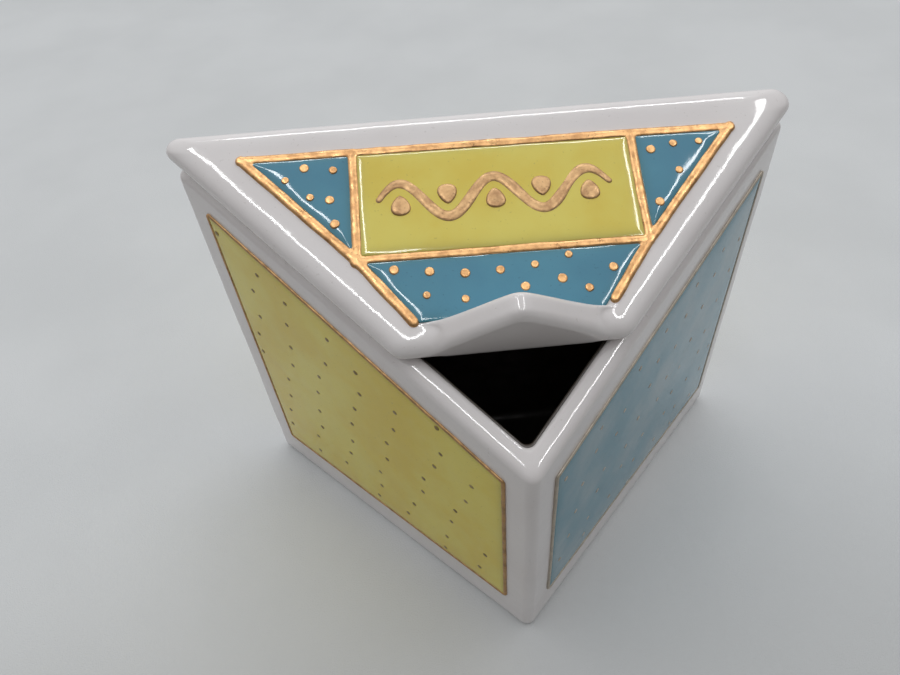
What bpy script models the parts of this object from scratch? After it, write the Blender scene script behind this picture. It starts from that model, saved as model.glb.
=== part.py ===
"""Triangular lidded dish of glazed ceramic, built as one named object per piece.

The dish is a right-angled triangle in plan with its long side at the back and its right
angle toward the viewer.  Its rim slopes down to the front, and the lid that rests on the
rim stops short of the front corner, where its own corner is folded up as a finger lip.
"""
import math

import bpy
from mathutils import Matrix, Vector
from mathutils.geometry import tessellate_polygon

# ---------------------------------------------------------------- driving dimensions (metres)
LEG = 0.100                        # length of each of the two equal walls
HALF_BACK = LEG / math.sqrt(2.0)   # half the back wall, and also the depth of the triangle
BACK_Y = 0.0338                    # outer face of the back wall
FRONT_HEIGHT = 0.0700              # rim height at the front corner
BACK_HEIGHT = 0.1027               # rim height at the middle of the back wall
LEAN = -0.025                      # rise of the rim per metre to the right
WALL = 0.0046
FLOOR = 0.0060
FRONT_CORNER = 0.0026              # rounding of the dish's front corner in plan
BACK_CORNER = 0.0018               # rounding of its two narrow back corners
GAP = 0.0003                       # clearance between pieces that would touch
LINING = 0.0006                    # thickness of the dark glaze inside

LID = 0.0060                       # thickness of the lid
LID_BACK = 0.0031                  # how far the lid reaches past the back wall
LID_FRONT = -0.0513                # front edge of the lid, measured along the lid
LID_SIDE = -0.0008                 # how far the lid reaches past the two leg walls
LID_EDGE = 0.0028                  # rounding of the lid's edge
LID_CORNERS = (0.0044, 0.0044, 0.0034, 0.0026)   # front left, front right, back right, back left

LINE = 0.0022                      # width of the raised gold lines on the lid
LINE_RISE = 0.0010
FIELD_RISE = 0.0006                # thickness of the coloured glaze
DOT = 0.0019                       # diameter of the gold dots
DOT_RISE = 0.0006

SLOPE = (BACK_HEIGHT - FRONT_HEIGHT) / HALF_BACK

# ---------------------------------------------------------------- the plane of the rim
NORMAL = Vector((-LEAN, -SLOPE, 1.0)).normalized()
ACROSS = Vector((1.0, 0.0, LEAN)).normalized()
UP_SLOPE = NORMAL.cross(ACROSS)
LID_ORIGIN = Vector((0.0, BACK_Y, BACK_HEIGHT + GAP))


def rim_height(x, y):
    """Height of the rim plane above the table at a point in plan."""
    return BACK_HEIGHT + SLOPE * (y - BACK_Y) + LEAN * x


def on_lid(u, v, n):
    """World point from lid coordinates: across, up the slope, and out of the rim plane."""
    return LID_ORIGIN + ACROSS * u + UP_SLOPE * v + NORMAL * n


# ---------------------------------------------------------------- flat outlines
def offset_polygon(points, distance):
    """Move every side of an anticlockwise polygon inward by distance."""
    result = []
    count = len(points)
    for i in range(count):
        before, here, after = (Vector(points[(i + k) % count]) for k in (-1, 0, 1))
        first = (here - before).normalized()
        second = (after - here).normalized()
        normal_a = Vector((-first.y, first.x))
        normal_b = Vector((-second.y, second.x))
        result.append(here + (normal_a + normal_b) * (distance / (1.0 + normal_a.dot(normal_b))))
    return result


def fillet(points, radii, segments):
    """Round each corner of a convex anticlockwise polygon by its own radius."""
    result = []
    count = len(points)
    for i, radius in enumerate(radii):
        before, here, after = (Vector(points[(i + k) % count]) for k in (-1, 0, 1))
        to_before = (before - here).normalized()
        to_after = (after - here).normalized()
        half = 0.5 * to_before.angle(to_after)
        centre = here + (to_before + to_after).normalized() * (radius / math.sin(half))
        start = here + to_before * (radius / math.tan(half)) - centre
        end = here + to_after * (radius / math.tan(half)) - centre
        sweep = math.atan2(start.cross(end), start.dot(end))
        for k in range(segments + 1):
            angle = sweep * k / segments
            turn = Matrix.Rotation(angle, 2)
            result.append(centre + turn @ start)
    return result


def dish_outline(inset):
    """Rounded triangle of the dish in plan, moved inward by inset."""
    corners = [Vector((0.0, BACK_Y - HALF_BACK)), Vector((HALF_BACK, BACK_Y)), Vector((-HALF_BACK, BACK_Y))]
    radii = [max(0.0008, radius - 0.12 * inset) for radius in (FRONT_CORNER, BACK_CORNER, BACK_CORNER)]
    return fillet(offset_polygon(corners, inset), radii, 8)


# ---------------------------------------------------------------- building meshes
def add_mesh(name, points, faces, material, origin=Vector((0.0, 0.0, 0.0))):
    """Make one object from world points and faces, its origin placed at origin."""
    mesh = bpy.data.meshes.new(name)
    mesh.from_pydata([Vector(p) - origin for p in points], [], faces)
    mesh.validate()
    mesh.update()
    mesh.materials.append(material)
    mesh.shade_smooth()
    mesh.set_sharp_from_angle(angle=math.radians(35.0))
    body = bpy.data.objects.new(name, mesh)
    body.location = origin
    bpy.context.scene.collection.objects.link(body)
    return body


def loft(name, rings, material, closed=False, origin=Vector((0.0, 0.0, 0.0))):
    """Skin equal rings of points; the ends are capped unless the loft closes on itself."""
    count = len(rings[0])
    points = [p for ring in rings for p in ring]
    faces = []
    for r in range(len(rings) if closed else len(rings) - 1):
        lower = r * count
        upper = ((r + 1) % len(rings)) * count
        for i in range(count):
            j = (i + 1) % count
            faces.append((lower + i, lower + j, upper + j, upper + i))
    if not closed:
        last = (len(rings) - 1) * count
        faces.append(tuple(reversed(range(count))))
        faces.append(tuple(last + i for i in range(count)))
    return add_mesh(name, points, faces, material, origin)


def prism_with_holes(name, outline, holes, place, low, high, material, origin):
    """Flat plate between two levels whose outline and holes are polygons."""
    loops = [outline] + holes
    flat = [Vector((p[0], p[1], 0.0)) for loop in loops for p in loop]
    triangles = tessellate_polygon([[Vector((p[0], p[1], 0.0)) for p in loop] for loop in loops])
    total = len(flat)
    points = [place(p.x, p.y, low) for p in flat] + [place(p.x, p.y, high) for p in flat]
    faces = []
    for tri in triangles:
        a, b, c = (flat[i] for i in tri)
        if (b - a).cross(c - a).z < 0.0:
            tri = tuple(reversed(tri))
        faces.append(tuple(reversed(tri)))
        faces.append(tuple(i + total for i in tri))
    first = 0
    for number, loop in enumerate(loops):
        count = len(loop)
        for i in range(count):
            j = (i + 1) % count
            side = (first + i, first + j, first + j + total, first + i + total)
            faces.append(side if number == 0 else tuple(reversed(side)))
        first += count
    return add_mesh(name, points, faces, material, origin)


def plate(name, outline, place, low, high, material, origin=Vector((0.0, 0.0, 0.0)), soften=0.0002):
    """Flat plate with a softened upper edge."""
    rings = [
        [place(p.x, p.y, low) for p in outline],
        [place(p.x, p.y, high - soften) for p in outline],
        [place(p.x, p.y, high) for p in offset_polygon(outline, soften)],
    ]
    return loft(name, rings, material, origin=origin)


def glaze(name, colour, roughness=0.12, metallic=0.0):
    """Glossy coloured material."""
    material = bpy.data.materials.new(name)
    material.use_nodes = True
    shader = material.node_tree.nodes["Principled BSDF"]
    shader.inputs["Base Color"].default_value = (*colour, 1.0)
    shader.inputs["Roughness"].default_value = roughness
    shader.inputs["Metallic"].default_value = metallic
    return material


# ---------------------------------------------------------------- the dish
def build_body(material):
    """Walls and floor in one fired piece, with a rounded rim that follows the slope."""
    outer_rounding = 0.0013
    inner_rounding = 0.0018
    steps = [math.radians(a) for a in (0, 30, 60, 90)]
    rings = []
    for inset, height in ((0.0012, 0.0), (0.0003, 0.0004), (0.0, 0.0014)):
        rings.append([Vector((p.x, p.y, height)) for p in dish_outline(inset)])
    for a in steps:
        inset = outer_rounding * (1.0 - math.cos(a))
        drop = outer_rounding * (1.0 - math.sin(a))
        rings.append([Vector((p.x, p.y, rim_height(p.x, p.y) - drop)) for p in dish_outline(inset)])
    for a in reversed(steps):
        inset = WALL - inner_rounding * (1.0 - math.cos(a))
        drop = inner_rounding * (1.0 - math.sin(a))
        rings.append([Vector((p.x, p.y, rim_height(p.x, p.y) - drop)) for p in dish_outline(inset)])
    for inset, height in ((WALL, FLOOR + 0.0022), (WALL + 0.0007, FLOOR + 0.0007), (WALL + 0.0022, FLOOR)):
        rings.append([Vector((p.x, p.y, height)) for p in dish_outline(inset)])
    return loft("dish_body", rings, material)


def build_lining(material):
    """Dark glaze that covers the whole inside of the dish up to the rim."""
    outer = WALL + GAP
    inner = outer + LINING
    base = FLOOR + GAP
    drop = 0.0022
    rings = []
    for inset, height in ((outer + 0.0022, base), (outer + 0.0007, base + 0.0007), (outer, base + 0.0022)):
        rings.append([Vector((p.x, p.y, height)) for p in dish_outline(inset)])
    for inset, down in ((outer, drop), (0.5 * (outer + inner), drop - 0.0002), (inner, drop)):
        rings.append([Vector((p.x, p.y, rim_height(p.x, p.y) - down)) for p in dish_outline(inset)])
    top = base + LINING
    for inset, height in ((inner, top + 0.0022), (inner + 0.0007, top + 0.0007), (inner + 0.0022, top)):
        rings.append([Vector((p.x, p.y, height)) for p in dish_outline(inset)])
    return loft("inner_glaze_lining", rings, material)


def wall_frame(start, end):
    """Placement for a wall: distance along it from start, height, and distance out of it."""
    along = (end - start).normalized()
    outward = Vector((along.y, -along.x))

    def place(s, height, out):
        flat = start + along * s + outward * out
        return Vector((flat.x, flat.y, height))

    return place


def wall_panel_corners(place, near, far, bottom, drops):
    """Corners of a wall's coloured panel; its top edge follows the rim at the given drops."""
    tops = []
    for s, drop in ((far, drops[1]), (near, drops[0])):
        foot = place(s, 0.0, 0.0)
        tops.append(Vector((s, rim_height(foot.x, foot.y) - drop)))
    return [Vector((near, bottom)), Vector((far, bottom)), tops[0], tops[1]]


def build_wall_panels(gold, colours):
    """A coloured panel with a gold outline on each of the three walls."""
    front = Vector((0.0, BACK_Y - HALF_BACK))
    right = Vector((HALF_BACK, BACK_Y))
    left = Vector((-HALF_BACK, BACK_Y))
    walls = (
        ("left", left, front, (0.0100, 0.0070), (0.0048, 0.0076)),
        ("right", front, right, (0.0075, 0.0090), (0.0085, 0.0072)),
        ("back", right, left, (0.0090, 0.0090), (0.0080, 0.0080)),
    )
    outline_width = 0.0011
    for side, start, end, margins, drops in walls:
        place = wall_frame(start, end)
        far = (end - start).length - margins[1]
        corners = wall_panel_corners(place, margins[0], far, 0.0108, drops)
        inner = offset_polygon(corners, outline_width)
        rings = [
            [place(p.x, p.y, GAP) for p in corners],
            [place(p.x, p.y, 0.0008) for p in corners],
            [place(p.x, p.y, 0.0010) for p in offset_polygon(corners, 0.0003)],
            [place(p.x, p.y, 0.0010) for p in offset_polygon(corners, outline_width - 0.0003)],
            [place(p.x, p.y, 0.0008) for p in inner],
            [place(p.x, p.y, GAP) for p in inner],
        ]
        loft("wall_gold_outline_" + side, rings, gold, closed=True)
        plate("wall_glaze_" + side, offset_polygon(inner, GAP), place, GAP, 0.0009, colours[side])


# ---------------------------------------------------------------- the lid
def lid_corners(inset):
    """Corners of the lid in lid coordinates, moved inward by inset."""
    stretch = math.sqrt(1.0 + SLOPE * SLOPE)

    def half_width(v):
        return HALF_BACK + LID_SIDE * math.sqrt(2.0) + v / stretch

    corners = [
        Vector((-half_width(LID_FRONT), LID_FRONT)),
        Vector((half_width(LID_FRONT), LID_FRONT)),
        Vector((half_width(LID_BACK), LID_BACK)),
        Vector((-half_width(LID_BACK), LID_BACK)),
    ]
    return offset_polygon(corners, inset)


def lip_height(u, v):
    """Rise of the folded-up front corner above the lid: a soft tent across the front edge."""
    if v > LID_FRONT + 0.006:
        return 0.0
    away = u - 0.0001
    tent = 0.0152 - 0.905 * math.hypot(away, 0.0017) + 0.075 * away
    rise = 0.5 * (tent + math.hypot(tent, 0.0012))
    return rise if rise > 0.00015 else 0.0


def lid_ring(inset, n, lifted):
    """One ring of the lid plate at an inset and level, raised by the lip where lifted."""
    radii = [max(0.0012, radius - 0.4 * inset) for radius in LID_CORNERS]
    outline = fillet(lid_corners(inset), radii, 8)
    front_left = outline[8]
    front_right = outline[9]
    others = outline[:8] + outline[10:]
    lip = [front_left.lerp(front_right, k / 32) for k in range(33)]
    ring = others[:8] + lip + others[8:]
    return [on_lid(p.x, p.y, n + lifted * lip_height(p.x, p.y)) for p in ring]


def build_lid_plate(material, origin):
    """The lid slab with its rounded edge and the lip folded up along its front edge."""
    half = 0.5 * LID
    rings = []
    for degrees in (90, 60, 30, 0):
        a = math.radians(degrees)
        inset = LID_EDGE * (1.0 - math.cos(a))
        rings.append(lid_ring(inset, half - half * math.sin(a), 0.0))
    for degrees in (0, 30, 60, 90):
        a = math.radians(degrees)
        inset = 0.9 * LID_EDGE * (1.0 - math.cos(a))
        rings.append(lid_ring(inset, half + half * math.sin(a), 1.0))
    for inset, lifted in ((0.0038, 1.0), (0.0047, 1.0), (0.0052, 0.85), (0.0055, 0.35), (0.0057, 0.0)):
        rings.append(lid_ring(inset, LID, lifted))
    return loft("lid_plate", rings, material, origin=origin)


def build_flange(material, origin):
    """Raised ring under the lid that drops inside the walls and keeps the lid from sliding."""
    inset = WALL + LINING + GAP + 0.0016
    width = 0.0040
    depth = 0.0050
    corners = [
        Vector((-0.0295, BACK_Y - 0.0415)),
        Vector((0.0295, BACK_Y - 0.0415)),
        Vector((HALF_BACK, BACK_Y)),
        Vector((-HALF_BACK, BACK_Y)),
    ]
    back = offset_polygon(corners, inset)
    outer = fillet(back, [0.0030] * 4, 4)
    inner = fillet(offset_polygon(back, width), [0.0012] * 4, 4)
    rings = []
    for outline, drop in ((outer, depth), (outer, GAP), (inner, GAP), (inner, depth)):
        rings.append([Vector((p.x, p.y, rim_height(p.x, p.y) - drop)) for p in outline])
    return loft("lid_locating_flange", rings, material, closed=True, origin=origin)


# Centre lines of the gold frame on the lid, in lid coordinates.
FRAME_BACK = -0.0063
FRAME_BAR = -0.0314
FRAME_FRONT = -0.0464
FRAME_HALF_BACK = 0.0522
FRAME_HALF_BAR = 0.0296
FRAME_HALF_FRONT = 0.0185
FRAME_SHIFT = 0.0009               # the bar and the front were drawn a little to the right
FRAME_ENDS = (-0.0460, -0.0448)    # how far down the left and right gold lines reach
FRAME_TILT = -0.016                # the frame was drawn slightly turned on the lid


def frame_point(u, v):
    """A corner of the gold frame, turned with the whole drawing."""
    return Vector((u - FRAME_TILT * v, v + FRAME_TILT * u))


def lid_fields():
    """Polygons of the four fields, drawn to the centre lines of the gold frame."""
    back_left = frame_point(-FRAME_HALF_BACK, FRAME_BACK)
    back_right = frame_point(FRAME_HALF_BACK, FRAME_BACK)
    top_left = frame_point(FRAME_SHIFT - FRAME_HALF_BAR, FRAME_BACK)
    top_right = frame_point(FRAME_SHIFT + FRAME_HALF_BAR, FRAME_BACK)
    low_left = frame_point(FRAME_SHIFT - FRAME_HALF_BAR, FRAME_BAR)
    low_right = frame_point(FRAME_SHIFT + FRAME_HALF_BAR, FRAME_BAR)
    front_left = frame_point(FRAME_SHIFT - FRAME_HALF_FRONT, FRAME_FRONT)
    front_right = frame_point(FRAME_SHIFT + FRAME_HALF_FRONT, FRAME_FRONT)
    return {
        "left": [low_left, top_left, back_left],
        "right": [low_right, back_right, top_right],
        "centre": [low_left, low_right, top_right, top_left],
        "front": [front_left, front_right, low_right, low_left],
    }


def level_with(start, end, v):
    """The point on the line from start to end that lies at a given v."""
    return start.lerp(end, (v - start.y) / (end.y - start.y))


def frame_outline(fields):
    """Outer edge of the gold frame; the frame is open toward the lip."""
    front_left, front_right, low_right, low_left = fields["front"]
    back_right = fields["right"][1]
    back_left = fields["left"][2]
    centre_line = [front_left, front_right, low_right, back_right, back_left, low_left]
    outer = offset_polygon(centre_line, -0.5 * LINE)
    inner = offset_polygon(fields["front"], 0.5 * LINE)
    return [
        level_with(outer[0], outer[5], FRAME_ENDS[0]),
        level_with(inner[0], inner[3], FRAME_ENDS[0]),
        inner[3],
        inner[2],
        level_with(inner[1], inner[2], FRAME_ENDS[1]),
        level_with(outer[1], outer[2], FRAME_ENDS[1]),
    ] + outer[2:]


def build_lid_glazes(gold, colours, origin):
    """The raised gold frame on the lid and the four coloured fields inside it."""
    fields = lid_fields()
    holes = [offset_polygon(fields[side], 0.5 * LINE) for side in ("left", "right", "centre")]
    low = LID + GAP
    top = low + LINE_RISE
    prism_with_holes("lid_gold_frame", frame_outline(fields), holes, on_lid, low, top, gold, origin)
    for side, field in fields.items():
        inner = offset_polygon(field, 0.5 * LINE + GAP)
        plate("lid_glaze_" + side, inner, on_lid, low, low + FIELD_RISE, colours[side], origin)


def build_dome(name, u, v, material, origin):
    """One round gold dot standing on the glaze."""
    base = LID + FIELD_RISE + 2.0 * GAP
    rings = []
    for share, rise in ((1.0, 0.0), (0.97, 0.35), (0.72, 0.80), (0.35, 1.0)):
        radius = 0.5 * DOT * share
        angles = [2.0 * math.pi * k / 10 for k in range(10)]
        rings.append([on_lid(u + radius * math.cos(a), v + radius * math.sin(a), base + DOT_RISE * rise)
                      for a in angles])
    return loft(name, rings, material, origin=origin)


# Gold dots on the blue fields, in millimetres across and up the lid.
DOTS = {
    "left": ((-39, -9), (-33, -10), (-43, -11.5), (-38, -16), (-34, -17), (-33.2, -22.6)),
    "right": ((34, -11.5), (39, -10.5), (44.5, -10.5), (39, -17), (33.5, -24)),
    "front": ((-22, -34), (-15, -35), (-8, -36), (-1, -36), (6, -35.5), (13, -34),
              (21.5, -37.5), (11, -39), (3.5, -40), (16, -41.5), (-16, -40), (-8.5, -41.5)),
}


def build_vine(material, origin):
    """A raised running wave with leaves across the middle field."""
    base = LID + FIELD_RISE + 2.0 * GAP
    half = 0.0014
    middle = -0.0188
    waves = 2.5
    length = 0.0490
    swing = 0.0042
    samples = 60
    left_side = []
    right_side = []
    for k in range(samples + 1):
        t = k / samples
        phase = 2.0 * math.pi * waves * t
        point = Vector((length * (t - 0.5), middle + swing * math.sin(phase)))
        tangent = Vector((length, swing * 2.0 * math.pi * waves * math.cos(phase))).normalized()
        side = Vector((-tangent.y, tangent.x))
        width = half * min(1.0, 0.35 + 6.0 * min(t, 1.0 - t))
        left_side.append(point + side * width)
        right_side.append(point - side * width)
    outline = right_side + list(reversed(left_side))
    prism_with_holes("lid_vine_stem", outline, [], on_lid, base, base + 0.0007, material, origin)
    for number in range(5):
        t = (number + 0.5) / 5.0
        up = 1.0 if number % 2 == 0 else -1.0
        centre = Vector((length * (t - 0.5), middle - up * 0.0016))
        outline = []
        for k in range(16):
            a = 2.0 * math.pi * k / 16
            pinch = 1.0 - 0.45 * abs(math.sin(0.5 * a))
            outline.append(centre + Vector((0.0016 * math.sin(a), up * 0.0025 * math.cos(a) * pinch)))
        if up < 0.0:
            outline.reverse()
        outline.reverse()
        plate("lid_vine_leaf_%d" % (number + 1), outline, on_lid, base, base + 0.0007, material, origin)


def main():
    for item in list(bpy.data.objects):
        bpy.data.objects.remove(item, do_unlink=True)

    white = glaze("white_glaze", (0.80, 0.78, 0.76))
    dark = glaze("dark_inner_glaze", (0.012, 0.009, 0.007), 0.25)
    gold = glaze("gold_line", (0.62, 0.36, 0.16), 0.30, 0.7)
    bronze = glaze("vine_bronze", (0.42, 0.26, 0.12), 0.35, 0.4)
    yellow = glaze("yellow_glaze", (0.60, 0.56, 0.09))
    blue = glaze("blue_glaze", (0.055, 0.23, 0.33))

    build_body(white)
    build_lining(dark)
    build_wall_panels(gold, {"left": yellow, "right": blue, "back": yellow})

    origin = LID_ORIGIN
    build_lid_plate(white, origin)
    build_flange(white, origin)
    build_lid_glazes(gold, {"left": blue, "right": blue, "centre": yellow, "front": blue}, origin)
    build_vine(bronze, origin)
    for side, dots in DOTS.items():
        for number, (u, v) in enumerate(dots):
            build_dome("lid_dot_%s_%d" % (side, number + 1), u / 1000.0, v / 1000.0, gold, origin)


main()
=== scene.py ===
"""Looks of the triangular lidded dish: glazed clay, raised gold lines, pooled coloured glaze.

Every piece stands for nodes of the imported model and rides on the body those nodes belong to.
Lengths are in metres.  Lid coordinates are (u across, v up the slope, n out of the rim plane).
"""
import math
import random

import bpy
from mathutils import Matrix, Vector, noise


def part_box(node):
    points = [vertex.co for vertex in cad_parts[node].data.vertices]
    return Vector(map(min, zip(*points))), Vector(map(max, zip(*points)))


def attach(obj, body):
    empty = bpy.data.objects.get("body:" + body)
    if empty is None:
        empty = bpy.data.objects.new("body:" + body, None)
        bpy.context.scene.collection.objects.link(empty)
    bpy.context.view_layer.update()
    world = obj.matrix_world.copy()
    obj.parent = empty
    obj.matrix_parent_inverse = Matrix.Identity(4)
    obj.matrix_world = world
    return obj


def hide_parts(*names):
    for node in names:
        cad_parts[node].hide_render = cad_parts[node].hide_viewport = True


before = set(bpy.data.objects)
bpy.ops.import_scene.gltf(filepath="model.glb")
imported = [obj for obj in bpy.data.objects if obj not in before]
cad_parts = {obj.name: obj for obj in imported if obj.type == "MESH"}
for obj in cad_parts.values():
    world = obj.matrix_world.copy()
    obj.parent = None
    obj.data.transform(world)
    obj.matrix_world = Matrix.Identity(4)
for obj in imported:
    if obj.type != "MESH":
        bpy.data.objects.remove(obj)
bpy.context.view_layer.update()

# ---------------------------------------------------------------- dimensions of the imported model
LEG = 0.100
HALF_BACK = LEG / math.sqrt(2.0)
BACK_Y = 0.0338
FRONT_HEIGHT = 0.0700
BACK_HEIGHT = 0.1027
LEAN = -0.025
WALL = 0.0046
FLOOR = 0.0060
FRONT_CORNER = 0.0026
BACK_CORNER = 0.0018
GAP = 0.0003
LINING = 0.0006

LID = 0.0060
LID_BACK = 0.0031
LID_FRONT = -0.0513
LID_SIDE = -0.0008
LID_CORNERS = (0.0044, 0.0044, 0.0034, 0.0026)

LINE = 0.0022

SLOPE = (BACK_HEIGHT - FRONT_HEIGHT) / HALF_BACK
NORMAL = Vector((-LEAN, -SLOPE, 1.0)).normalized()
ACROSS = Vector((1.0, 0.0, LEAN)).normalized()
UP_SLOPE = NORMAL.cross(ACROSS)
LID_ORIGIN = Vector((0.0, BACK_Y, BACK_HEIGHT + GAP))

FRAME_BACK = -0.0063
FRAME_BAR = -0.0314
FRAME_FRONT = -0.0464
FRAME_HALF_BACK = 0.0522
FRAME_HALF_BAR = 0.0296
FRAME_HALF_FRONT = 0.0185
FRAME_SHIFT = 0.0009
FRAME_ENDS = (-0.0460, -0.0448)
FRAME_TILT = -0.016

# ---------------------------------------------------------------- finish of the surfaces
EDGE_BULGE = 0.66                  # share of the wall's thickness in the outer half of the rim
ARC_STEPS = 14                     # points round each rounded corner
SIDE_STEPS = 70                    # points along each straight side
CROWN = 0.0052                     # width of the rounding round the top of the lid
VOXEL = 0.00022                    # cell size when the drawn lines are melted together

POOL_DEPTHS = (0.0, 0.00015, 0.0003, 0.00045, 0.0006, 0.0008, 0.0010, 0.0013, 0.0016, 0.0020, 0.0025)
POOL_REACH = 0.0011                # how far in from its edge a pool swells
POOL_CALM = 0.0025                 # how far in from its edge a pool's ripples begin
POOL_EDGE = 0.0008                 # width of the darker edge of a pool
POOL_FOOT = -0.0002                # lower face of a pool: inside a wall, but under the lid's lower face

PANEL_BOTTOM = 0.0108              # height of the lower side of each wall's panel
PANEL_LINE = 0.0011                # room left for the gold outline of a panel
ROW_STEP = Vector((0.0104, -0.0049))
NEXT_ROW = Vector((0.0026, 0.0084))
ROWS = range(-12, 30)
DOTS_IN_ROW = 30

FRAME_RISE = 0.00072               # height of the gold lines above the lid
VINE_RISE = 0.00108                # height of the vine above the lid
LEAF_HALF_WIDTH = 0.0021
LEAF_HALF_LENGTH = 0.0031


def rim_height(x, y):
    """Height of the rim plane above the table at a point in plan."""
    return BACK_HEIGHT + SLOPE * (y - BACK_Y) + LEAN * x


def on_lid(u, v, n):
    """World point from lid coordinates."""
    return LID_ORIGIN + ACROSS * u + UP_SLOPE * v + NORMAL * n


def to_lid(point):
    """Lid coordinates of a world point."""
    away = point - LID_ORIGIN
    return away.dot(ACROSS), away.dot(UP_SLOPE), away.dot(NORMAL)


def wave(x, y, z, size, seed):
    """Smooth noise from -1 to 1 whose bumps are about size across."""
    place = Vector((x, y, z)) / size + Vector((seed, 2.7 * seed, -1.3 * seed))
    return noise.noise(place)


def smooth_step(x):
    """0 below 0, 1 above 1, and a smooth ramp between."""
    x = min(1.0, max(0.0, x))
    return x * x * (3.0 - 2.0 * x)


# ---------------------------------------------------------------- flat outlines
def offset_polygon(points, distance):
    """Move every side of an anticlockwise polygon inward by distance."""
    result = []
    count = len(points)
    for i in range(count):
        before, here, after = (Vector(points[(i + k) % count]) for k in (-1, 0, 1))
        first = (here - before).normalized()
        second = (after - here).normalized()
        normal_a = Vector((-first.y, first.x))
        normal_b = Vector((-second.y, second.x))
        result.append(here + (normal_a + normal_b) * (distance / (1.0 + normal_a.dot(normal_b))))
    return result


def rounded_outline(corners, radii, arc_steps=ARC_STEPS, side_steps=SIDE_STEPS):
    """Outline of a polygon with rounded corners, always with the same number of points."""
    if isinstance(radii, float):
        radii = [radii] * len(corners)
    arcs = []
    count = len(corners)
    for i in range(count):
        before, here, after = (Vector(corners[(i + k) % count]) for k in (-1, 0, 1))
        to_before = (before - here).normalized()
        to_after = (after - here).normalized()
        half = 0.5 * to_before.angle(to_after)
        turn_left = to_before.cross(to_after) < 0.0
        centre = here + (to_before + to_after).normalized() * (radii[i] / math.sin(half))
        start = here + to_before * (radii[i] / math.tan(half)) - centre
        sweep = (math.pi - 2.0 * half) * (1.0 if turn_left else -1.0)
        turns = [sweep * k / arc_steps for k in range(arc_steps + 1)]
        arcs.append([centre + Matrix.Rotation(turn, 2) @ start for turn in turns])
    outline = []
    for i, arc in enumerate(arcs):
        after = arcs[(i + 1) % count][0]
        outline.extend(arc)
        outline.extend(arc[-1].lerp(after, k / side_steps) for k in range(1, side_steps))
    return outline


def dish_outline(inset):
    """Rounded triangle of the dish in plan, moved inward by inset."""
    corners = [Vector((0.0, BACK_Y - HALF_BACK)), Vector((HALF_BACK, BACK_Y)), Vector((-HALF_BACK, BACK_Y))]
    radii = [max(0.0008, radius - 0.12 * inset) for radius in (FRONT_CORNER, BACK_CORNER, BACK_CORNER)]
    return rounded_outline(offset_polygon(corners, inset), radii)


# ---------------------------------------------------------------- meshes
def skin(rings, end="face"):
    """Points and faces of a loft through equal rings; the last one closes with a face or a fan."""
    count = len(rings[0])
    points = [Vector(p) for ring in rings for p in ring]
    faces = []
    for r in range(len(rings) - 1):
        for i in range(count):
            j = (i + 1) % count
            a, b = r * count, (r + 1) * count
            faces.append((a + i, a + j, b + j, b + i))
    last = (len(rings) - 1) * count
    faces.append(tuple(reversed(range(count))))
    if end == "face":
        faces.append(tuple(last + i for i in range(count)))
    if end == "fan":
        points.append(sum((points[last + i] for i in range(count)), Vector()) / count)
        middle = len(points) - 1
        faces.extend((last + i, last + (i + 1) % count, middle) for i in range(count))
    return points, faces


def ring_loop(rings):
    """Points and faces of a loft that closes on itself, such as a tube round a loop."""
    count = len(rings[0])
    points = [Vector(p) for ring in rings for p in ring]
    faces = []
    for r in range(len(rings)):
        a = r * count
        b = ((r + 1) % len(rings)) * count
        for i in range(count):
            j = (i + 1) % count
            faces.append((a + i, a + j, b + j, b + i))
    return points, faces


def join(parts):
    """One list of points and faces from several."""
    points, faces = [], []
    for part_points, part_faces in parts:
        start = len(points)
        points.extend(part_points)
        faces.extend(tuple(start + i for i in face) for face in part_faces)
    return points, faces


def add_piece(name, shape, material, body, nodes, edge=None):
    """One object from points and faces, riding on a body in place of CAD nodes."""
    points, faces = shape
    mesh = bpy.data.meshes.new(name)
    mesh.from_pydata([tuple(p) for p in points], [], faces)
    if edge is not None:
        mesh.attributes.new("edge", "FLOAT", "POINT").data.foreach_set("value", edge)
    mesh.validate()
    mesh.update()
    mesh.materials.append(material)
    mesh.shade_smooth()
    piece = bpy.data.objects.new(name, mesh)
    bpy.context.scene.collection.objects.link(piece)
    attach(piece, body)
    if nodes:
        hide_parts(*nodes)
    return piece


def melt(piece, passes):
    """Turn overlapping tubes into one closed skin with soft joins."""
    remesh = piece.modifiers.new("melt", "REMESH")
    remesh.mode = "VOXEL"
    remesh.voxel_size = VOXEL
    remesh.use_smooth_shade = True
    soften = piece.modifiers.new("soften", "SMOOTH")
    soften.factor = 0.5
    soften.iterations = passes
    graph = bpy.context.evaluated_depsgraph_get()
    melted = bpy.data.meshes.new_from_object(piece.evaluated_get(graph))
    piece.modifiers.clear()
    melted.name = piece.name
    piece.data = melted
    melted.shade_smooth()


# ---------------------------------------------------------------- materials
def material_nodes(name):
    """A new node material with its node tree and its shader."""
    material = bpy.data.materials.new(name)
    material.use_nodes = True
    tree = material.node_tree
    return material, tree, tree.nodes["Principled BSDF"]


def noise_node(tree, scale, detail=3.0, roughness=0.5):
    """Noise in the object's own coordinates; scale is in bumps per metre."""
    place = tree.nodes.new("ShaderNodeTexCoord")
    texture = tree.nodes.new("ShaderNodeTexNoise")
    texture.inputs["Scale"].default_value = scale
    texture.inputs["Detail"].default_value = detail
    texture.inputs["Roughness"].default_value = roughness
    tree.links.new(place.outputs["Object"], texture.inputs["Vector"])
    return texture.outputs["Fac"]


def ramp_node(tree, source, low, high, start, end):
    """Maps source from low..high to start..end, with smooth shoulders."""
    ramp = tree.nodes.new("ShaderNodeMapRange")
    ramp.interpolation_type = "SMOOTHSTEP"
    for socket, value in (("From Min", low), ("From Max", high), ("To Min", start), ("To Max", end)):
        ramp.inputs[socket].default_value = value
    tree.links.new(source, ramp.inputs["Value"])
    return ramp.outputs["Result"]


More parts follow.
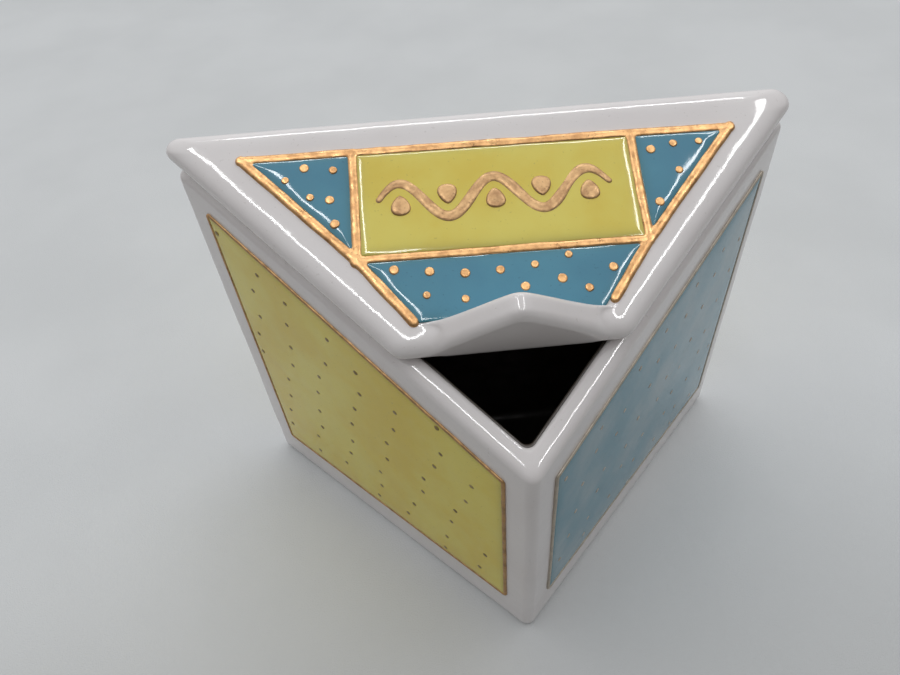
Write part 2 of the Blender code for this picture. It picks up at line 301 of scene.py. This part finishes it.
def mix_node(tree, factor, first, second):
    """Mix of two colours; each may be a colour or another node's output."""
    mix = tree.nodes.new("ShaderNodeMix")
    mix.data_type = "RGBA"
    tree.links.new(factor, mix.inputs["Factor"])
    for socket, value in ((mix.inputs[6], first), (mix.inputs[7], second)):
        if isinstance(value, tuple):
            socket.default_value = (*value, 1.0)
        else:
            tree.links.new(value, socket)
    return mix.outputs[2]


def add_bump(tree, shader, layers):
    """Stacked bump from (scale, height in metres) layers."""
    normal = None
    for scale, height in layers:
        bump = tree.nodes.new("ShaderNodeBump")
        bump.inputs["Strength"].default_value = 1.0
        bump.inputs["Distance"].default_value = height
        tree.links.new(noise_node(tree, scale, 2.0), bump.inputs["Height"])
        if normal is not None:
            tree.links.new(normal, bump.inputs["Normal"])
        normal = bump.outputs["Normal"]
    tree.links.new(normal, shader.inputs["Normal"])


def glaze_material(name, colour, shade, speck, speck_amount, roughness, bumps, edge_colour=None):
    """Fired glaze: cloudy colour, fine specks, uneven gloss and a slightly wavy surface."""
    material, tree, shader = material_nodes(name)
    clouds = ramp_node(tree, noise_node(tree, 55.0, 4.0), 0.35, 0.68, 0.0, 1.0)
    tint = mix_node(tree, clouds, colour, shade)
    if edge_colour is not None:
        attribute = tree.nodes.new("ShaderNodeAttribute")
        attribute.attribute_name = "edge"
        tint = mix_node(tree, attribute.outputs["Fac"], tint, edge_colour)
    specks = ramp_node(tree, noise_node(tree, 1500.0, 1.0), 0.70, 0.78, 0.0, speck_amount)
    tint = mix_node(tree, specks, tint, speck)
    tree.links.new(tint, shader.inputs["Base Color"])
    gloss = ramp_node(tree, noise_node(tree, 220.0, 3.0), 0.3, 0.75, roughness, roughness * 1.9)
    tree.links.new(gloss, shader.inputs["Roughness"])
    shader.inputs["IOR"].default_value = 1.52
    add_bump(tree, shader, bumps)
    return material


def gold_material(name, bright, dull, roughness, metallic):
    """Fired gold over a raised line: blotchy, with browner patches and darker pits."""
    material, tree, shader = material_nodes(name)
    blotches = ramp_node(tree, noise_node(tree, 420.0, 5.0, 0.65), 0.38, 0.66, 0.0, 1.0)
    tint = mix_node(tree, blotches, bright, dull)
    pits = ramp_node(tree, noise_node(tree, 1900.0, 2.0), 0.62, 0.74, 0.0, 0.6)
    tint = mix_node(tree, pits, tint, tuple(0.45 * c for c in dull))
    tree.links.new(tint, shader.inputs["Base Color"])
    gloss = ramp_node(tree, noise_node(tree, 700.0, 3.0), 0.3, 0.7, roughness, roughness * 1.8)
    tree.links.new(gloss, shader.inputs["Roughness"])
    shader.inputs["Metallic"].default_value = metallic
    add_bump(tree, shader, ((520.0, 0.00012), (2400.0, 0.00003)))
    return material


def make_materials():
    """All finishes, by name."""
    smooth_bumps = ((160.0, 0.00007), (900.0, 0.000010))
    pool_bumps = ((150.0, 0.000035), (900.0, 0.000008))
    return {
        "white": glaze_material("glossy_white_glaze", (0.80, 0.76, 0.745), (0.77, 0.725, 0.71),
                                (0.45, 0.40, 0.36), 0.25, 0.06, smooth_bumps),
        "dark": glaze_material("dark_inner_glaze", (0.058, 0.043, 0.032), (0.042, 0.030, 0.022),
                               (0.09, 0.06, 0.035), 0.3, 0.32, smooth_bumps),
        "yellow": glaze_material("pooled_yellow_glaze", (0.80, 0.68, 0.115), (0.76, 0.58, 0.060),
                                 (0.42, 0.34, 0.06), 0.35, 0.07, pool_bumps, (0.52, 0.46, 0.10)),
        "blue": glaze_material("pooled_blue_glaze", (0.062, 0.260, 0.365), (0.048, 0.225, 0.335),
                               (0.02, 0.10, 0.15), 0.35, 0.065, pool_bumps, (0.045, 0.19, 0.23)),
        # Right wall's blue: thinner glaze, with pale clouds that are a painted sheen, the floor reflected at
        # a grazing angle.
        "blue_thin_and_painted_sheen": glaze_material("blue_glaze_thin_and_painted_sheen", (0.090, 0.265, 0.345), (0.245, 0.365, 0.415),
                                    (0.04, 0.12, 0.16), 0.35, 0.11, pool_bumps, (0.06, 0.19, 0.23)),
        "gold": gold_material("fired_gold_line", (0.64, 0.37, 0.16), (0.40, 0.21, 0.085), 0.27, 0.72),
        "wall_gold": gold_material("thin_gold_line", (0.54, 0.32, 0.14), (0.34, 0.20, 0.09), 0.34, 0.6),
        # Paler, less metallic gold for the right wall's lines and dots: painted sheen, the grazing
        # reflection that washes them out.
        "gold_painted_sheen": gold_material("gold_line_painted_sheen", (0.50, 0.43, 0.34), (0.40, 0.35, 0.28), 0.30, 0.15),
        "wall_dot": gold_material("thin_gold_dot", (0.34, 0.25, 0.10), (0.20, 0.14, 0.05), 0.38, 0.35),
        "bronze": gold_material("fired_gold_vine", (0.50, 0.31, 0.145), (0.32, 0.18, 0.08), 0.33, 0.6),
    }


# ---------------------------------------------------------------- the dish
def build_dish_body(materials):
    """Walls, foot and rounded rim of the dish, slightly uneven as hand-built clay is."""
    step = 0.001

    def wavy_ring(inset, height_of):
        outline = dish_outline(inset)
        deeper = dish_outline(inset + step)
        ring = []
        for p, q in zip(outline, deeper):
            height = height_of(p)
            sway = 0.00010 * (1.0 + wave(p.x, p.y, height, 0.024, 1.0))
            sway += 0.00003 * (1.0 + wave(p.x, p.y, height, 0.007, 2.0))
            spot = p.lerp(q, sway / step)
            ring.append(Vector((spot.x, spot.y, height)))
        return ring

    def rim_top(p):
        dip = 0.00009 * (1.0 + wave(p.x, p.y, 0.0, 0.016, 3.0))
        return rim_height(p.x, p.y) - dip

    rings = []
    for inset, height in ((0.0024, 0.0), (0.0012, 0.0001), (0.0005, 0.0005), (0.0001, 0.0011)):
        rings.append(wavy_ring(inset, lambda p, z=height: z))
    rim_rise = 0.0017
    foot_top = 0.0018
    wall_steps = 36
    for k in range(wall_steps):
        share = k / wall_steps
        rings.append(wavy_ring(0.0, lambda p, t=share: foot_top + t * (rim_top(p) - rim_rise - foot_top)))
    rim_steps = 26
    power = 2.0 / 2.6
    for k in range(rim_steps + 1):
        a = math.pi * k / rim_steps
        outside = math.cos(a) > 0.0
        reach = (EDGE_BULGE if outside else 1.0 - EDGE_BULGE) * (1.0 - abs(math.cos(a)) ** power)
        inset = WALL * (reach if outside else 1.0 - reach)
        rise = rim_rise * max(0.0, math.sin(a)) ** power
        rings.append(wavy_ring(inset, lambda p, r=rise: rim_top(p) - rim_rise + r))
    inside = WALL + 0.0001
    inner_foot = ((inside, FLOOR + 0.0022), (inside + 0.0007, FLOOR + 0.0007), (inside + 0.0022, FLOOR))
    for inset, height in inner_foot:
        rings.append(wavy_ring(inset, lambda p, z=height: z))
    add_piece("dish_glazed_body", skin(rings), materials["white"], "dish", ["dish_body"])


def build_lining(materials):
    """Dark glaze inside the dish; its upper edge feathers out just under the rim."""
    under = WALL - 0.0002
    face = WALL + 0.0009
    base = FLOOR - 0.0002
    top = FLOOR + GAP + LINING
    rings = []
    for inset, height in ((under + 0.0022, base), (under + 0.0007, base + 0.0007), (under, base + 0.0022)):
        rings.append([Vector((p.x, p.y, height)) for p in dish_outline(inset)])
    for inset, drop in ((under, 0.0019), (under + 0.0004, 0.0013), (under + 0.0008, 0.0014), (face, 0.0021)):
        ring = []
        for p in dish_outline(inset):
            ragged = 0.00022 * wave(p.x, p.y, 0.0, 0.006, 4.0)
            ring.append(Vector((p.x, p.y, rim_height(p.x, p.y) - drop + ragged)))
        rings.append(ring)
    for share in (0.8, 0.6, 0.4, 0.2):
        ring = []
        for p in dish_outline(face):
            height = top + 0.0030 + share * (rim_height(p.x, p.y) - top - 0.0060)
            ring.append(Vector((p.x, p.y, height)))
        rings.append(ring)
    for inset, height in ((face, top + 0.0030), (face + 0.0009, top + 0.0009), (face + 0.0030, top)):
        rings.append([Vector((p.x, p.y, height)) for p in dish_outline(inset)])
    add_piece("dish_dark_lining", skin(rings), materials["dark"], "dish",
              ["inner_glaze_lining"])


def wall_frame(start, end):
    """Placement on a wall: distance along it from start, height, and distance out of it."""
    along = (end - start).normalized()
    outward = Vector((along.y, -along.x))

    def place(s, height, out):
        flat = start + along * s + outward * out
        return Vector((flat.x, flat.y, height))

    return place


def wall_panel_corners(place, near, far, bottom, drops):
    """Corners of a wall's coloured panel; its top edge follows the rim at the given drops."""
    tops = []
    for s, drop in ((far, drops[1]), (near, drops[0])):
        foot = place(s, 0.0, 0.0)
        tops.append(Vector((s, rim_height(foot.x, foot.y) - drop)))
    return [Vector((near, bottom)), Vector((far, bottom)), tops[0], tops[1]]


def drawn_loop(outline, place, width, rise, seed):
    """A hand-drawn raised line round a closed outline, flat below and rounded above."""
    count = len(outline)
    profile_steps = 9
    rings = []
    for i in range(count):
        before, here, after = (outline[(i + k) % count] for k in (-1, 0, 1))
        along = (after - before).normalized()
        side = Vector((-along.y, along.x))
        half = 0.5 * width * (1.0 + 0.16 * wave(here.x, here.y, 0.0, 0.004, seed))
        spot = here + side * (0.00012 * wave(here.x, here.y, 0.0, 0.009, seed + 5.0))
        ring = []
        for k in range(profile_steps):
            a = math.pi * k / (profile_steps - 1)
            edge = spot + side * (half * math.cos(a))
            ring.append(place(edge.x, edge.y, rise * max(0.0, math.sin(a)) ** 0.8))
        for cut in (-1.0, 1.0):
            edge = spot + side * (half * 0.9 * cut)
            ring.append(place(edge.x, edge.y, -0.00025))
        rings.append(ring)
    return ring_loop(rings)


def pool(outline_at, place, level, puff, seed, sway):
    """A thick pool of glaze, rounded over at its edge: rings from the edge in, then to the middle.

    Returns the shape and, for each point, how near the pool's edge it is, from 1 to 0.
    """
    rings = []
    edges = []

    def add_ring(points, depth, low=False):
        ring = []
        for p in points:
            reach = POOL_REACH * (1.0 + 0.4 * wave(p.x, p.y, 0.0, 0.0065, seed + 9.0))
            rise = puff * (1.0 - math.exp(-depth / reach))
            calm = smooth_step(depth / POOL_CALM)
            ripple = sway * calm * wave(p.x, p.y, 0.0, 0.0095, seed)
            ripple += 0.35 * sway * calm * wave(p.x, p.y, 0.0, 0.0042, seed + 3.0)
            ring.append(place(p.x, p.y, POOL_FOOT if low else level + rise + ripple))
        rings.append(ring)
        edges.extend([math.exp(-depth / POOL_EDGE)] * len(points))

    add_ring(outline_at(0.0), 0.0, low=True)
    for depth in POOL_DEPTHS:
        add_ring(outline_at(depth), depth)
    last = outline_at(POOL_DEPTHS[-1])
    middle = sum(last, Vector((0.0, 0.0))) / len(last)
    scaled_steps = 22
    for k in range(1, scaled_steps):
        share = 1.0 - k / scaled_steps
        ring = [middle + (p - middle) * share for p in last]
        nearest = min((p - middle).length for p in last)
        add_ring(ring, POOL_DEPTHS[-1] + nearest * (1.0 - share))
    shape = skin(rings, end="fan")
    edges.append(edges[-1])
    return shape, edges


def dot_shape(place, s, t, base, radius, rise, seed):
    """One blob of gold, not quite round, sitting in the glaze."""
    count = 16
    rings = []
    for share, up in ((1.0, -1.0), (1.0, 0.05), (0.95, 0.50), (0.84, 0.80), (0.6, 0.95), (0.25, 1.0)):
        ring = []
        for k in range(count):
            a = 2.0 * math.pi * k / count
            reach = radius * share * (1.0 + 0.10 * noise.noise(Vector((math.cos(a), math.sin(a), seed))))
            ring.append(place(s + reach * math.cos(a), t + reach * math.sin(a), base + rise * up))
        rings.append(ring)
    return skin(rings)


def scattered_dots(corners, margin, seed):
    """Dots in slanting rows over a four-sided panel, each a little out of line."""
    picker = random.Random(seed)
    inner = offset_polygon(corners, margin)
    start = inner[0] - 12 * ROW_STEP
    dots = []
    for row in ROWS:
        for step in range(DOTS_IN_ROW):
            spot = start + ROW_STEP * step + NEXT_ROW * row
            spot = spot + Vector((picker.uniform(-0.0015, 0.0015), picker.uniform(-0.0013, 0.0013)))
            sides = [(inner[(i + 1) % 4] - inner[i]).cross(spot - inner[i]) for i in range(4)]
            if min(sides) > 0.0:
                dots.append(spot)
    return dots


def build_wall_panels(materials):
    """Pooled glaze, its gold outline and a scatter of gold dots on each wall."""
    front = Vector((0.0, BACK_Y - HALF_BACK))
    right = Vector((HALF_BACK, BACK_Y))
    left = Vector((-HALF_BACK, BACK_Y))
    walls = (
        ("left", left, front, (0.0100, 0.0070), (0.0048, 0.0076), ("yellow", "wall_gold", "wall_dot")),
        # The right wall's blue glaze and its gold are paler with painted sheen.
        ("right", front, right, (0.0075, 0.0090), (0.0085, 0.0072), ("blue_thin_and_painted_sheen", "gold_painted_sheen", "gold_painted_sheen")),
        ("back", right, left, (0.0090, 0.0090), (0.0080, 0.0080), ("yellow", "wall_gold", "wall_dot")),
    )
    for number, (side, start, end, margins, drops, looks) in enumerate(walls):
        colour, line, dot = looks
        place = wall_frame(start, end)
        far = (end - start).length - margins[1]
        corners = wall_panel_corners(place, margins[0], far, PANEL_BOTTOM, drops)
        centre_line = rounded_outline(offset_polygon(corners, 0.5 * PANEL_LINE), 0.0007, 6, 90)
        add_piece("wall_line_" + side, drawn_loop(centre_line, place, 0.0009, 0.00038, 10.0 + number),
                  materials[line], "dish", ["wall_gold_outline_" + side])

        def outline_at(depth, corners=corners):
            inset = 0.5 * PANEL_LINE + 0.00025 + depth
            return rounded_outline(offset_polygon(corners, inset), 0.0005, 6, 60)

        shape, edges = pool(outline_at, place, level=0.00012, puff=0.00022, seed=20.0 + number, sway=0.00007)
        add_piece("wall_pool_" + side, shape, materials[colour], "dish",
                  ["wall_glaze_" + side], edges)
        blobs = []
        for p in scattered_dots(corners, margin=0.0021, seed=30 + number):
            blobs.append(dot_shape(place, p.x, p.y, base=0.00028, radius=0.00066, rise=0.00014,
                                   seed=p.x * 90.0))
        add_piece("wall_dots_" + side, join(blobs), materials[dot], "dish", [])


# ---------------------------------------------------------------- the lid
def lid_corners(inset):
    """Corners of the lid in lid coordinates, moved inward by inset."""
    stretch = math.sqrt(1.0 + SLOPE * SLOPE)

    def half_width(v):
        return HALF_BACK + LID_SIDE * math.sqrt(2.0) + v / stretch

    corners = [
        Vector((-half_width(LID_FRONT), LID_FRONT)),
        Vector((half_width(LID_FRONT), LID_FRONT)),
        Vector((half_width(LID_BACK), LID_BACK)),
        Vector((-half_width(LID_BACK), LID_BACK)),
    ]
    return offset_polygon(corners, inset)


def lip_height(u, v):
    """Rise of the folded-up front corner above the lid: a soft tent across the front edge."""
    if v > LID_FRONT + 0.008:
        return 0.0
    away = u - 0.0001
    tent = 0.0152 - 0.905 * math.hypot(away, 0.0017) + 0.075 * away
    return 0.5 * (tent + math.hypot(tent, 0.0014)) * smooth_step((0.0212 - abs(u - 0.0010)) / 0.0045)


def lid_level(u, v):
    """Unevenness of the lid's upper face, always at or below its nominal level."""
    slow = wave(u, v, 0.0, 0.021, 41.0)
    quick = wave(u, v, 0.0, 0.0075, 42.0)
    return -0.00011 * (1.0 + slow) - 0.00004 * (1.0 + quick)


def lid_outline(inset):
    """Rounded outline of the lid in lid coordinates, moved inward by inset."""
    radii = [max(0.0012, radius - 0.35 * inset) for radius in LID_CORNERS]
    return rounded_outline(lid_corners(inset), radii)


def lid_ring(inset, lip_inset, n, lifted):
    """One ring of the lid; where the lip stands, its own inset takes over."""
    outer = lid_outline(inset)
    inner = lid_outline(lip_inset)
    ring = []
    for p, q in zip(outer, inner):
        lip = lip_height(q.x, q.y)
        share = smooth_step(lip / 0.0025)
        spot = p.lerp(q, share)
        sag = lid_level(spot.x, spot.y) * smooth_step((n - 0.0030) / 0.0025) * (1.0 - share)
        ring.append(on_lid(spot.x, spot.y, n + sag + lifted * lip))
    return ring


def build_lid_plate(materials):
    """The lid slab: rounded edge, crowned border, uneven top and the folded-up lip."""
    half = 0.5 * LID
    power = 0.82
    rings = []
    edge_steps = 9
    for k in range(edge_steps + 1):
        a = 0.5 * math.pi * (1.0 - k / edge_steps)
        turn = 1.0 - math.cos(a)
        n = half * (1.0 - math.sin(a))
        rings.append(lid_ring(0.0024 * turn, 0.0010 * turn, n, 0.0))
    crown_steps = 14
    for k in range(1, crown_steps + 1):
        a = 0.5 * math.pi * k / crown_steps
        turn = 1.0 - max(0.0, math.cos(a)) ** power
        n = half + half * math.sin(a) ** power
        rings.append(lid_ring(CROWN * turn, 0.0023 * turn, n, 1.0))
    top = (
        (0.0053, 0.0031, 1.0), (0.0054, 0.0038, 1.0), (0.0055, 0.0044, 0.995), (0.0056, 0.0049, 0.975),
        (0.0057, 0.0053, 0.93), (0.0058, 0.0056, 0.84), (0.0059, 0.0058, 0.70), (0.0060, 0.0059, 0.52),
        (0.0061, 0.0060, 0.30), (0.0062, 0.00605, 0.12), (0.0063, 0.0061, 0.0),
    )
    for inset, lip_inset, lifted in top:
        rings.append(lid_ring(inset, lip_inset, LID, lifted))
    last = lid_outline(0.0064)
    middle = sum(last, Vector((0.0, 0.0))) / len(last)
    scaled_steps = 30
    for k in range(1, scaled_steps):
        share = 1.0 - k / scaled_steps
        spots = [middle + (p - middle) * share for p in last]
        rings.append([on_lid(p.x, p.y, LID + lid_level(p.x, p.y)) for p in spots])
    add_piece("lid_glazed_plate", skin(rings, end="fan"), materials["white"], "lid",
              ["lid_plate"])


def build_flange(materials):
    """Ring under the lid that drops inside the walls, its lower edges rounded."""
    inset = WALL + LINING + GAP + 0.0016
    width = 0.0040
    depth = 0.0050
    rounding = 0.0010
    inside_lid = -0.0002
    corners = [
        Vector((-0.0295, BACK_Y - 0.0415)),
        Vector((0.0295, BACK_Y - 0.0415)),
        Vector((HALF_BACK, BACK_Y)),
        Vector((-HALF_BACK, BACK_Y)),
    ]
    profile = [(0.0, inside_lid)]
    for k in range(7):
        a = 0.5 * math.pi * k / 6
        profile.append((rounding * (1.0 - math.cos(a)), depth - rounding * (1.0 - math.sin(a))))
    for k in range(7):
        a = 0.5 * math.pi * (1.0 - k / 6)
        profile.append((width - rounding * (1.0 - math.cos(a)), depth - rounding * (1.0 - math.sin(a))))
    profile.append((width, inside_lid))
    rings = []
    for across, drop in profile:
        outline = rounded_outline(offset_polygon(corners, inset + across), 0.0030 - 0.4 * across, 8, 40)
        rings.append([Vector((p.x, p.y, rim_height(p.x, p.y) + GAP - drop)) for p in outline])
    rings.reverse()
    add_piece("lid_locating_ring", ring_loop(rings), materials["white"], "lid",
              ["lid_locating_flange"])


def frame_point(u, v):
    """A corner of the gold frame, turned with the whole drawing."""
    return Vector((u - FRAME_TILT * v, v + FRAME_TILT * u))


def frame_layout():
    """Corners of the drawing on the lid, by name."""
    return {
        "back_left": frame_point(-FRAME_HALF_BACK, FRAME_BACK),
        "back_right": frame_point(FRAME_HALF_BACK, FRAME_BACK),
        "top_left": frame_point(FRAME_SHIFT - FRAME_HALF_BAR, FRAME_BACK),
        "top_right": frame_point(FRAME_SHIFT + FRAME_HALF_BAR, FRAME_BACK),
        "low_left": frame_point(FRAME_SHIFT - FRAME_HALF_BAR, FRAME_BAR),
        "low_right": frame_point(FRAME_SHIFT + FRAME_HALF_BAR, FRAME_BAR),
        "front_left": frame_point(FRAME_SHIFT - FRAME_HALF_FRONT, FRAME_FRONT),
        "front_right": frame_point(FRAME_SHIFT + FRAME_HALF_FRONT, FRAME_FRONT),
    }


def level_with(start, end, v):
    """The point on the line from start to end that lies at a given v."""
    return start.lerp(end, (v - start.y) / (end.y - start.y))


def drawn_line(points, width, rise, seed, taper=0.0, sway=0.00016):
    """A hand-drawn raised line on the lid along corner points, with rounded ends."""
    spots = []
    spacing = 0.0005
    for a, b in zip(points, points[1:]):
        pieces = max(2, round((b - a).length / spacing))
        spots.extend(a.lerp(b, k / pieces) for k in range(pieces))
    spots.append(points[-1])
    count = len(spots)
    profile_steps = 10
    rings = []
    for i, here in enumerate(spots):
        along = (spots[min(i + 1, count - 1)] - spots[max(i - 1, 0)]).normalized()
        side = Vector((-along.y, along.x))
        near_end = min(i, count - 1 - i) / (count - 1)
        round_end = math.sqrt(max(0.08, 1.0 - (1.0 - min(1.0, min(i, count - 1 - i) / 2.5)) ** 2))
        slim = 1.0 - taper * (1.0 - smooth_step(near_end / 0.12))
        half = 0.5 * width * slim * round_end * (1.0 + 0.13 * wave(here.x, here.y, 0.0, 0.005, seed))
        spot = here + side * (sway * wave(here.x, here.y, 0.0, 0.011, seed + 4.0))
        level = LID + lid_level(spot.x, spot.y)
        height = rise * round_end * (1.0 + 0.10 * wave(here.x, here.y, 0.0, 0.006, seed + 8.0))
        ring = []
        for k in range(profile_steps):
            a = math.pi * k / (profile_steps - 1)
            edge = spot + side * (half * math.cos(a))
            ring.append(on_lid(edge.x, edge.y, level + height * max(0.0, math.sin(a)) ** 0.7))
        for cut in (-1.0, 1.0):
            edge = spot + side * (half * 0.95 * cut)
            ring.append(on_lid(edge.x, edge.y, level - 0.0006))
        rings.append(ring)
    return skin(rings)


def build_gold_frame(materials):
    """The raised gold frame: border, two uprights and the bar, melted where they cross."""
    corners = frame_layout()
    left_end = level_with(corners["front_left"], corners["low_left"], FRAME_ENDS[0])
    right_end = level_with(corners["front_right"], corners["low_right"], FRAME_ENDS[1])
    lines = [
        ([corners["back_left"], corners["back_right"]], 0.0022, 50.0),
        ([corners["back_left"], corners["low_left"], left_end], 0.0023, 51.0),
        ([corners["back_right"], corners["low_right"], right_end], 0.0022, 52.0),
        ([corners["top_left"], corners["low_left"]], 0.0022, 54.0),
        ([corners["top_right"], corners["low_right"]], 0.0022, 55.0),
        ([corners["low_left"], corners["low_right"]], 0.0020, 56.0),
    ]
    joins = (
        ("low_left", 0.0016), ("low_right", 0.0013), ("back_left", 0.0012),
        ("back_right", 0.0013), ("top_left", 0.0011), ("top_right", 0.0011),
    )
    parts = [drawn_line(points, width, FRAME_RISE, seed) for points, width, seed in lines]
    for name, radius in joins:
        spot = corners[name]
        level = LID + lid_level(spot.x, spot.y)
        parts.append(dot_shape(on_lid, spot.x, spot.y, level, radius, FRAME_RISE, spot.x * 70.0))
    piece = add_piece("lid_gold_lines", join(parts), materials["gold"], "lid",
                      ["lid_gold_frame"])
    melt(piece, 5)


def build_lid_pools(materials):
    """The four pools of coloured glaze between the gold lines."""
    corners = frame_layout()
    fields = {
        "left": (("low_left", "top_left", "back_left"), "blue", 0.00012),
        "right": (("low_right", "back_right", "top_right"), "blue", 0.00012),
        "centre": (("low_left", "low_right", "top_right", "top_left"), "yellow", 0.00006),
        "front": (("front_left", "front_right", "low_right", "low_left"), "blue", 0.00012),
    }
    for number, (side, (names, colour, sway)) in enumerate(fields.items()):
        field = [corners[name] for name in names]

        def outline_at(depth, field=field):
            return rounded_outline(offset_polygon(field, 0.5 * LINE - 0.0003 + depth), 0.0003, 5, 44)

        shape, edges = pool(outline_at, on_lid, level=LID + 0.00022, puff=0.00040, seed=60.0 + number,
                            sway=sway)
        add_piece("lid_pool_" + side, shape, materials[colour], "lid",
                  ["lid_glaze_" + side], edges)


def build_lid_dots(materials):
    """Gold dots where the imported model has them, one object for each blue field."""
    groups = {}
    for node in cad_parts:
        if node.startswith("lid_dot_"):
            groups.setdefault(node.split("_")[2], []).append(node)
    for side, nodes in sorted(groups.items()):
        blobs = []
        for number, node in enumerate(sorted(nodes)):
            low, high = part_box(node)
            u, v, _ = to_lid(0.5 * (low + high))
            radius = 0.00093 * (1.0 + 0.12 * math.sin(5.1 * number + 1.0))
            blobs.append(dot_shape(on_lid, u, v, base=LID + 0.00056, radius=radius, rise=0.00028,
                                   seed=7.0 * number))
        add_piece("lid_gold_dots_" + side, join(blobs), materials["gold"], "lid", sorted(nodes))


def build_vine(materials):
    """A raised running wave with leaves across the yellow pool."""
    middle = -0.0188
    waves = 2.5
    length = 0.0490
    swing = 0.0042
    samples = 110
    stem = []
    for k in range(samples + 1):
        t = k / samples
        stem.append(Vector((length * (t - 0.5), middle + swing * math.sin(2.0 * math.pi * waves * t))))
    parts = [drawn_line(stem, 0.0030, VINE_RISE, 70.0, taper=0.4, sway=0.0001)]
    leaf_count = 5
    leaf_profile = ((1.0, -0.0006), (1.0, 0.0007), (0.9, 0.00092), (0.6, 0.00104), (0.25, VINE_RISE))
    leaf_points = 24
    for number in range(leaf_count):
        t = (number + 0.5) / leaf_count
        up = 1.0 if number % 2 == 0 else -1.0
        centre = Vector((length * (t - 0.5), middle - up * 0.0016))
        rings = []
        for share, rise in leaf_profile:
            ring = []
            for k in range(leaf_points):
                a = 2.0 * math.pi * k / leaf_points
                pinch = 1.0 - 0.45 * abs(math.sin(0.5 * a))
                across = LEAF_HALF_WIDTH * share * math.sin(a)
                lengthwise = up * LEAF_HALF_LENGTH * share * math.cos(a) * pinch
                spot = centre + Vector((across, lengthwise))
                ring.append(on_lid(spot.x, spot.y, LID + rise))
            rings.append(ring if up < 0.0 else list(reversed(ring)))
        parts.append(skin(rings))
    nodes = ["lid_vine_stem"] + ["lid_vine_leaf_%d" % (k + 1) for k in range(leaf_count)]
    piece = add_piece("lid_raised_vine", join(parts), materials["bronze"], "lid", nodes)
    melt(piece, 4)


# ---------------------------------------------------------------- floor, light and camera
def build_floor():
    """A plain pale floor with painted shade: a little darker in front of the dish."""
    half = 3.0
    mesh = bpy.data.meshes.new("floor")
    mesh.from_pydata([(-half, -half, 0.0), (half, -half, 0.0), (half, half, 0.0), (-half, half, 0.0)], [],
                     [(0, 1, 2, 3)])
    material, tree, shader = material_nodes("pale_cloth")
    clouds = ramp_node(tree, noise_node(tree, 14.0, 3.0), 0.3, 0.7, 0.0, 1.0)
    cloth = mix_node(tree, clouds, (0.66, 0.67, 0.67), (0.62, 0.63, 0.63))
    place = tree.nodes.new("ShaderNodeTexCoord")
    split = tree.nodes.new("ShaderNodeSeparateXYZ")
    tree.links.new(place.outputs["Object"], split.inputs["Vector"])
    # Painted shade: the floor's colour falls to a darker grey toward the front (negative Y), standing in for
    # the shade that lies there.
    near = ramp_node(tree, split.outputs["Y"], -0.16, 0.02, 1.0, 0.0)
    tree.links.new(mix_node(tree, near, cloth, (0.40, 0.395, 0.38)), shader.inputs["Base Color"])
    shader.inputs["Roughness"].default_value = 0.9
    shader.inputs["Specular IOR Level"].default_value = 0.1
    add_bump(tree, shader, ((2500.0, 0.0001),))
    mesh.materials.append(material)
    floor = bpy.data.objects.new("floor", mesh)
    bpy.context.scene.collection.objects.link(floor)


def add_strip(name, place, target, length, width, power):
    """A long strip lamp over the object; it adds highlights in the glaze and no diffuse light."""
    lamp = bpy.data.lights.new(name, "AREA")
    lamp.shape = "RECTANGLE"
    lamp.size = length
    lamp.size_y = width
    lamp.energy = power
    holder = bpy.data.objects.new(name, lamp)
    holder.location = place
    holder.rotation_mode = "QUATERNION"
    holder.rotation_quaternion = (Vector(target) - Vector(place)).to_track_quat("-Z", "Y")
    holder.visible_diffuse = False
    bpy.context.scene.collection.objects.link(holder)


def build_sky():
    """A dim room under a bright soft ceiling, a little brighter toward the back."""
    world = bpy.data.worlds.new("studio")
    world.use_nodes = True
    tree = world.node_tree
    place = tree.nodes.new("ShaderNodeTexCoord")
    lean = tree.nodes.new("ShaderNodeVectorMath")
    lean.operation = "DOT_PRODUCT"
    lean.inputs[1].default_value = (0.0, 0.38, 0.925)
    tree.links.new(place.outputs["Generated"], lean.inputs[0])
    glow = ramp_node(tree, lean.outputs["Value"], 0.0, 0.97, 0.06, 1.27)
    background = tree.nodes["Background"]
    background.inputs["Color"].default_value = (0.965, 0.98, 1.0, 1.0)
    tree.links.new(glow, background.inputs["Strength"])
    bpy.context.scene.world = world


def build_light():
    """Three slim ceiling lamps that draw the highlights; all other light comes from the sky."""
    middle = (0.0, 0.0, 0.09)
    add_strip("strip_left", (-0.23, -0.12, 1.07), middle, 0.98, 0.06, 3.4)
    add_strip("strip_right", (0.52, -0.14, 1.00), middle, 0.98, 0.06, 3.4)
    add_strip("strip_back", (0.12, 0.66, 0.96), middle, 0.90, 0.05, 3.0)
    bpy.context.scene.view_settings.view_transform = "Standard"


def build_camera():
    """Camera above and in front, looking down on the lid."""
    camera = bpy.data.cameras.new("camera")
    camera.lens = 28.0
    camera.sensor_width = 36.0
    camera.clip_start = 0.005
    holder = bpy.data.objects.new("camera", camera)
    right = Vector((0.99375, -0.09000, -0.06607))
    down = Vector((-0.11072, -0.71796, -0.68722))
    forward = Vector((0.01441, 0.69024, -0.72344))
    turn = Matrix((right, -down, -forward)).transposed()
    holder.rotation_mode = "QUATERNION"
    holder.rotation_quaternion = turn.to_quaternion()
    holder.location = (-0.01464, -0.10613, 0.18574)
    bpy.context.scene.collection.objects.link(holder)
    bpy.context.scene.camera = holder


materials = make_materials()
build_dish_body(materials)
build_lining(materials)
build_wall_panels(materials)
build_lid_plate(materials)
build_flange(materials)
build_gold_frame(materials)
build_lid_pools(materials)
build_lid_dots(materials)
build_vine(materials)
build_floor()
build_sky()
build_light()
build_camera()
